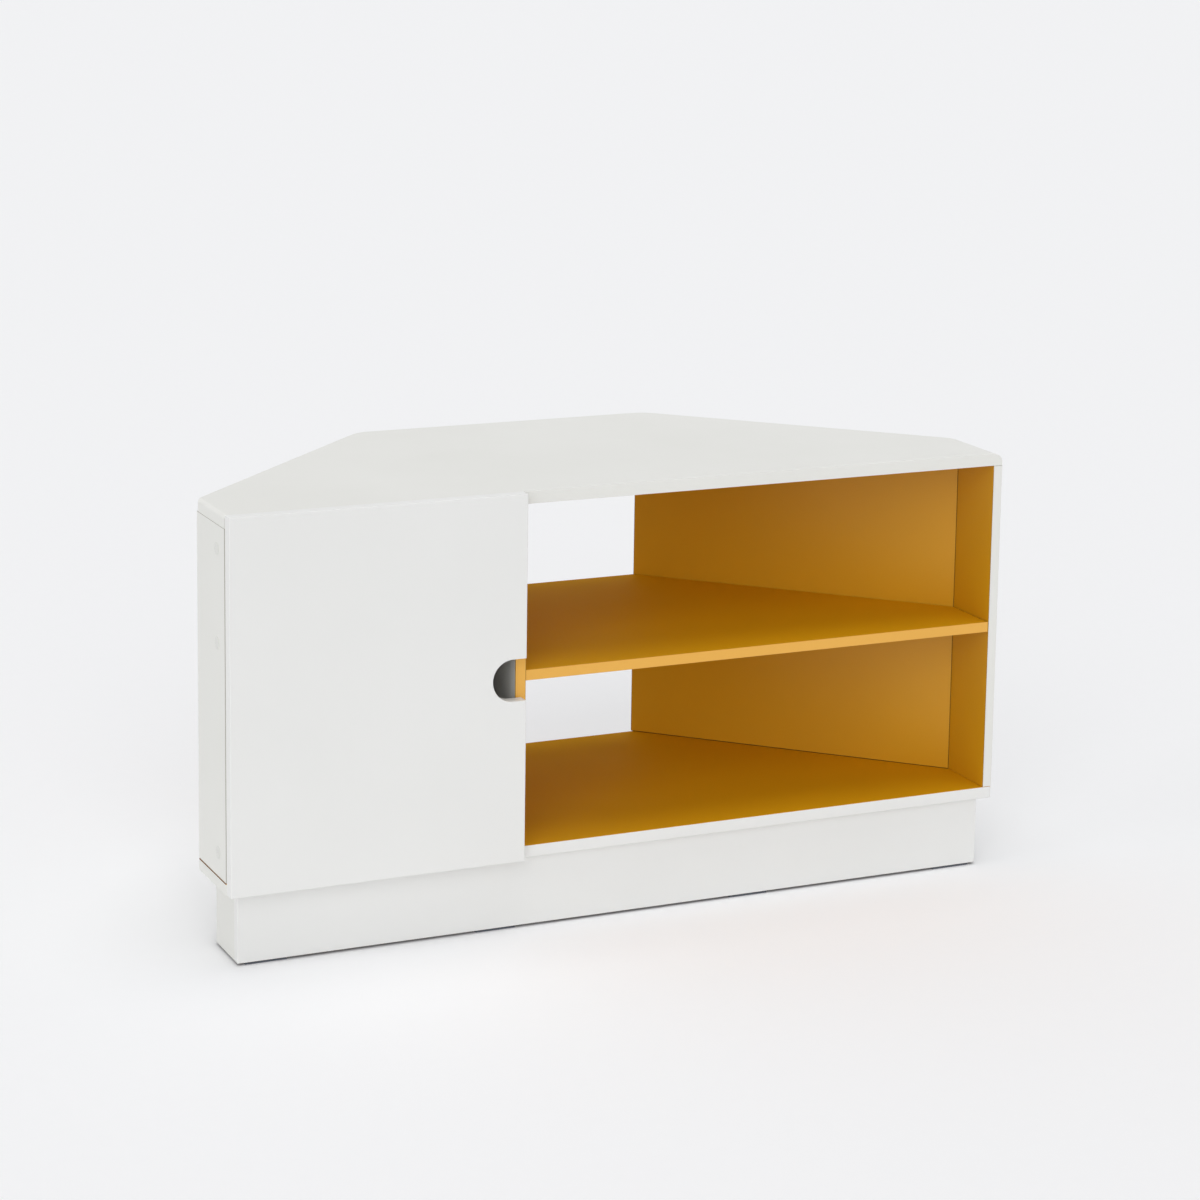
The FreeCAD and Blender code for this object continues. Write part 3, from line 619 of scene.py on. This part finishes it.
class CABINET_OT_backs(bpy.types.Operator):
    """Slanted backs and divider, mustard on the niche side"""

    bl_idname = "cabinet.backs"
    bl_label = "Backs and divider"

    def execute(self, context):
        sizes, colours = context.scene.cabinet_sizes, context.scene.cabinet_colours
        materials = [white_board(colours), mustard_satin(colours), seam_gap_shade_line(colours)]
        mustard, seam = range(1, len(materials))
        for side, sign, slot in (("left", -1.0, "white_board"), ("right", 1.0, "mustard_board")):
            low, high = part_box(f"{side}_back_panel")
            near, far = sorted((abs(low.x), abs(high.x)))
            skew = SIDE_REAR - low.y
            plan = [(far, low.y), (far, SIDE_REAR), (near + skew, high.y), (near, high.y)]
            mesh = prism([(sign * x, y) for x, y in plan], low.z, high.z)
            if side == "right":
                # Painted seam shade on every eased edge of the right back
                ease(mesh, sharp_edges(mesh), sizes.seam_edge, material=seam)
                paint(mesh, mustard,
                      lambda face: face.normal.xy.dot((-1.0, -1.0)) > SLANT_LOOKS)
            else:
                ease(mesh, sharp_edges(mesh), sizes.board_edge)
            finish_piece(f"{side}_back_board", mesh, materials, "carcass",
                         f"{side}_back_panel")
        low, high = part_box("divider_panel")
        mesh = plank(low, high)
        rear = [edge for edge in sharp_edges(mesh) if middle(edge).y > low.y + NEAR]
        # Painted seam shade on the divider's edges behind its front
        ease(mesh, rear, sizes.seam_edge, material=seam)
        paint(mesh, mustard, lambda face: face.normal.x > FLAT)
        finish_piece("divider_board", mesh, materials, "carcass", "divider_panel")
        return {"FINISHED"}


class CABINET_OT_shelves(bpy.types.Operator):
    """Niche shelf, its edge band, the divider's band and the cupboard shelf"""

    bl_idname = "cabinet.shelves"
    bl_label = "Shelves"

    def execute(self, context):
        sizes, colours = context.scene.cabinet_sizes, context.scene.cabinet_colours
        shelf = merged_copy("niche_shelf")
        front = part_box("niche_shelf")[0].y
        rear = [edge for edge in sharp_edges(shelf) if middle(edge).y > front + SHELF_NEAR]
        # Painted seam shade on the shelf's edges behind its front
        ease(shelf, rear, sizes.seam_edge, material=1)
        finish_piece("niche_shelf_board", shelf, [mustard_board(colours), seam_gap_shade_line(colours)],
                     "carcass", "niche_shelf")
        # The divider band's front rim takes the painted seam shade; the shelf band's rim keeps the band
        # colour
        for node, name, rim_material in (("niche_shelf_edge_band", "shelf_front_band", -1),
                                         ("divider_edge_band", "divider_front_band", 1)):
            band = merged_copy(node)
            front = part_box(node)[0].y
            rim = [edge for edge in sharp_edges(band) if middle(edge).y < front + NEAR]
            ease(band, rim, sizes.band_edge, material=rim_material)
            finish_piece(name, band, [edge_band(colours), seam_gap_shade_line(colours)], "carcass",
                         node)
        dress("cupboard_shelf", white_board(colours))
        return {"FINISHED"}


class CABINET_OT_plinth(bpy.types.Operator):
    """Recessed plinth frame, its glue blocks and glides"""

    bl_idname = "cabinet.plinth"
    bl_label = "Plinth"

    def execute(self, context):
        sizes, colours = context.scene.cabinet_sizes, context.scene.cabinet_colours
        for place in ("front", "left_end", "right_end", "left_rail", "right_rail", "rear",
                      "cross_rail"):
            mesh = merged_copy(f"plinth_{place}")
            ease(mesh, sharp_edges(mesh), sizes.board_edge)
            # Raw underside of the plinth boards, painted near black as the shade of the gap under them
            paint(mesh, 1, lambda face: face.normal.z < -LEANS)
            face_board = white_door if place == "front" else white_board
            finish_piece(f"plinth_{place}_board", mesh, [face_board(colours), raw_edge_and_shade(colours)],
                         "carcass", f"plinth_{place}")
        blocks = bare_wood("Beech blocks", colours.beech, along=(1.0, 1.0, 0.12))
        dress("plinth_corner_blocks", blocks)
        pads = merged_copy("floor_glides")
        ease(pads, sharp_edges(pads), sizes.pad_edge)
        felt = soft_plastic("Glide felt", colours.glide, roughness=0.85, grain_scale=700.0)
        finish_piece("floor_pads", pads, [felt], "carcass", "floor_glides")
        return {"FINISHED"}


class CABINET_OT_door(bpy.types.Operator):
    """Door leaf with eased edges round its face and finger notch, and its bumpers"""

    bl_idname = "cabinet.door"
    bl_label = "Door"

    def outer(self, edge):
        """True for the edges of the face and the corners between the leaf's four rims."""
        spot = middle(edge)
        face = spot.y < DOOR_LOW.y + DOOR_NEAR
        ends = spot.x < DOOR_LOW.x + DOOR_NEAR or spot.x > DOOR_HIGH.x - DOOR_NEAR
        rims = spot.z < DOOR_LOW.z + DOOR_NEAR or spot.z > DOOR_HIGH.z - DOOR_NEAR
        return spot.y < DOOR_HIGH.y - DOOR_NEAR and (face or ends or rims)

    def execute(self, context):
        sizes, colours = context.scene.cabinet_sizes, context.scene.cabinet_colours
        leaf = merged_copy("door_panel")
        outer = [edge for edge in sharp_edges(leaf) if self.outer(edge)]
        ease(leaf, outer, sizes.door_edge, FINE_SEGMENTS)
        finish_piece("door_leaf", leaf, [white_door(colours)], "door", "door_panel")
        pads = merged_copy("door_bumpers")
        ease(pads, sharp_edges(pads), sizes.pad_edge, FINE_SEGMENTS)
        rubber = soft_plastic("Bumper rubber", colours.bumper, roughness=0.35, grain_scale=300.0)
        finish_piece("bumper_pads", pads, [rubber], "door", "door_bumpers")
        return {"FINISHED"}


class CABINET_OT_hinges(bpy.types.Operator):
    """Hinge cups, arms, plates, pins and their screws"""

    bl_idname = "cabinet.hinges"
    bl_label = "Hinges"

    def execute(self, context):
        sizes, colours = context.scene.cabinet_sizes, context.scene.cabinet_colours
        nickel = nickel_plate(colours)
        for level in ("lower", "upper"):
            for part in ("hinge_arm", "hinge_plate"):
                node = f"{level}_{part}"
                mesh = merged_copy(node)
                if part == "hinge_arm":
                    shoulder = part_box(node)[0].y + sizes.arm_shoulder
                    facing = [vert for vert in mesh.verts if abs(vert.co.y - shoulder) < NEAR]
                    bmesh.ops.translate(mesh, verts=facing, vec=(0.0, -sizes.arm_relief, 0.0))
                long_edges = [edge for edge in sharp_edges(mesh)
                              if edge.calc_length() > sizes.short_edge]
                ease(mesh, long_edges, sizes.hardware_edge)
                finish_piece(f"{node}_plated", mesh, [nickel], "carcass", node)
            for part in ("hinge_cup", "hinge_pin"):
                dress(f"{level}_{part}", nickel)
        for node in ("hinge_cup_screws", "hinge_plate_screws", "hinge_arm_screws"):
            dress(node, nickel)
        return {"FINISHED"}


class CABINET_OT_fixings(bpy.types.Operator):
    """Cams, bolts, dowels, shelf pins, shelf screw and cover caps"""

    bl_idname = "cabinet.fixings"
    bl_label = "Fixings"

    def execute(self, context):
        sizes, colours = context.scene.cabinet_sizes, context.scene.cabinet_colours
        for node in ("cam_locks", "cam_bolts", "shelf_pins", "cupboard_shelf_screw"):
            dress(node, nickel_plate(colours))
        dress("wood_dowels", bare_wood("Beech dowels", colours.beech, along=(1.0, 1.0, 0.1)))
        caps = merged_copy("side_cover_caps")
        ease(caps, sharp_edges(caps), sizes.hardware_edge, FINE_SEGMENTS)
        plastic = soft_plastic("Cap plastic", colours.cap, roughness=0.5, grain_scale=900.0)
        finish_piece("cover_caps", caps, [plastic], "carcass", "side_cover_caps")
        return {"FINISHED"}


class CABINET_OT_stage(bpy.types.Operator):
    """Pale floor and background, soft light and the camera"""

    bl_idname = "cabinet.stage"
    bl_label = "Stage"

    def execute(self, context):
        context.scene.view_settings.view_transform = "Standard"
        self.lay_floor(context)
        self.light(context)
        self.aim_camera(context)
        return {"FINISHED"}

    def seen_directly(self, tree):
        path = tree.nodes.new("ShaderNodeLightPath")
        mirror = calculate(tree, "MAXIMUM", path.outputs["Is Glossy Ray"],
                           path.outputs["Is Transmission Ray"])
        return calculate(tree, "MAXIMUM", path.outputs["Is Camera Ray"], mirror)

    def lay_floor(self, context):
        sizes, colours = context.scene.cabinet_sizes, context.scene.cabinet_colours
        mesh = bmesh.new()
        bmesh.ops.create_grid(mesh, x_segments=1, y_segments=1, size=sizes.floor_size / 2.0)
        data = bpy.data.meshes.new("studio_floor")
        mesh.to_mesh(data)
        mesh.free()
        floor = bpy.data.objects.new("studio_floor", data)
        context.scene.collection.objects.link(floor)
        material, tree, shader, place = start_material("Pale floor")
        data.materials.append(material)
        cloud = noise(tree, place, scale=40.0, detail=2.0)
        cloudy = mix_colour(tree, cloud, colours.floor, toned(colours.floor, share=1.01))
        tree.links.new(cloudy, shader.inputs["Base Color"])
        shader.inputs["Roughness"].default_value = FLOOR_ROUGHNESS
        shader.inputs["Specular IOR Level"].default_value = 0.0
        glow = tree.nodes.new("ShaderNodeEmission")
        glow.inputs["Color"].default_value = (*colours.backdrop, 1.0)
        tree.links.new(calculate(tree, "MULTIPLY", self.seen_directly(tree), FLOOR_GLOW),
                       glow.inputs["Strength"])
        add = tree.nodes.new("ShaderNodeAddShader")
        tree.links.new(shader.outputs["BSDF"], add.inputs[0])
        tree.links.new(glow.outputs["Emission"], add.inputs[1])
        tree.links.new(add.outputs["Shader"], tree.nodes["Material Output"].inputs["Surface"])

    def light(self, context):
        world = bpy.data.worlds.new("Studio")
        context.scene.world = world
        world.use_nodes = True
        tree = world.node_tree
        fill = tree.nodes["Background"]
        fill.inputs["Color"].default_value = (*FILL_TINT, 1.0)
        fill.inputs["Strength"].default_value = FILL_STRENGTH
        seen = tree.nodes.new("ShaderNodeBackground")
        seen.inputs["Color"].default_value = (*context.scene.cabinet_colours.backdrop, 1.0)
        mix = tree.nodes.new("ShaderNodeMixShader")
        tree.links.new(self.seen_directly(tree), mix.inputs["Fac"])
        tree.links.new(fill.outputs["Background"], mix.inputs[1])
        tree.links.new(seen.outputs["Background"], mix.inputs[2])
        tree.links.new(mix.outputs["Shader"], tree.nodes["World Output"].inputs["Surface"])
        for name, strength, spread, heading in LAMPS:
            lamp = bpy.data.lights.new(name, "SUN")
            lamp.energy = strength
            lamp.angle = math.radians(spread)
            sun = bpy.data.objects.new(name, lamp)
            context.scene.collection.objects.link(sun)
            sun.rotation_mode = "QUATERNION"
            sun.rotation_quaternion = Vector(heading).to_track_quat("-Z", "Y")

    def aim_camera(self, context):
        lens = bpy.data.cameras.new("Photograph view")
        lens.sensor_width = SENSOR_WIDTH
        lens.lens = LENS_LENGTH
        lens.shift_y = LENS_SHIFT
        lens.dof.use_dof = False
        camera = bpy.data.objects.new("Photograph view", lens)
        context.scene.collection.objects.link(camera)
        yaw = math.radians(CAMERA_YAW)
        pitch = math.radians(CAMERA_PITCH)
        roll = math.radians(CAMERA_ROLL)
        forward = Vector((math.sin(yaw) * math.cos(pitch), math.cos(yaw) * math.cos(pitch),
                          -math.sin(pitch)))
        right = Vector((math.cos(yaw), -math.sin(yaw), 0.0))
        down = forward.cross(right)
        across = math.cos(roll) * right + math.sin(roll) * down
        below = math.cos(roll) * down - math.sin(roll) * right
        turn = Matrix((across, -below, -forward)).transposed()
        camera.matrix_world = Matrix.Translation(CAMERA_PLACE) @ turn.to_4x4()
        context.scene.camera = camera


PIECES = (
    CABINET_OT_top,
    CABINET_OT_base,
    CABINET_OT_sides,
    CABINET_OT_backs,
    CABINET_OT_shelves,
    CABINET_OT_plinth,
    CABINET_OT_door,
    CABINET_OT_hinges,
    CABINET_OT_fixings,
    CABINET_OT_stage,
)


class CABINET_PT_pieces(bpy.types.Panel):
    """Pieces, sizes and colours of the cabinet"""

    bl_idname = "CABINET_PT_pieces"
    bl_label = "Corner cabinet"
    bl_space_type = "VIEW_3D"
    bl_region_type = "UI"
    bl_category = "Cabinet"

    def draw(self, context):
        column = self.layout.column()
        for piece in PIECES:
            column.operator(piece.bl_idname)
        for settings in (context.scene.cabinet_sizes, context.scene.cabinet_colours):
            for name in settings.__annotations__:
                column.prop(settings, name)


CLASSES = (CabinetSizes, CabinetColours, *PIECES, CABINET_PT_pieces)


def register():
    for item in CLASSES:
        bpy.utils.register_class(item)
    bpy.types.Scene.cabinet_sizes = PointerProperty(type=CabinetSizes)
    bpy.types.Scene.cabinet_colours = PointerProperty(type=CabinetColours)


def unregister():
    del bpy.types.Scene.cabinet_colours
    del bpy.types.Scene.cabinet_sizes
    for item in reversed(CLASSES):
        bpy.utils.unregister_class(item)


def main():
    register()
    bpy.ops.cabinet.top()
    bpy.ops.cabinet.base()
    bpy.ops.cabinet.sides()
    bpy.ops.cabinet.backs()
    bpy.ops.cabinet.shelves()
    bpy.ops.cabinet.plinth()
    bpy.ops.cabinet.door()
    bpy.ops.cabinet.hinges()
    bpy.ops.cabinet.fixings()
    bpy.ops.cabinet.stage()
    bpy.context.view_layer.update()


if __name__ == "__main__":
    main()
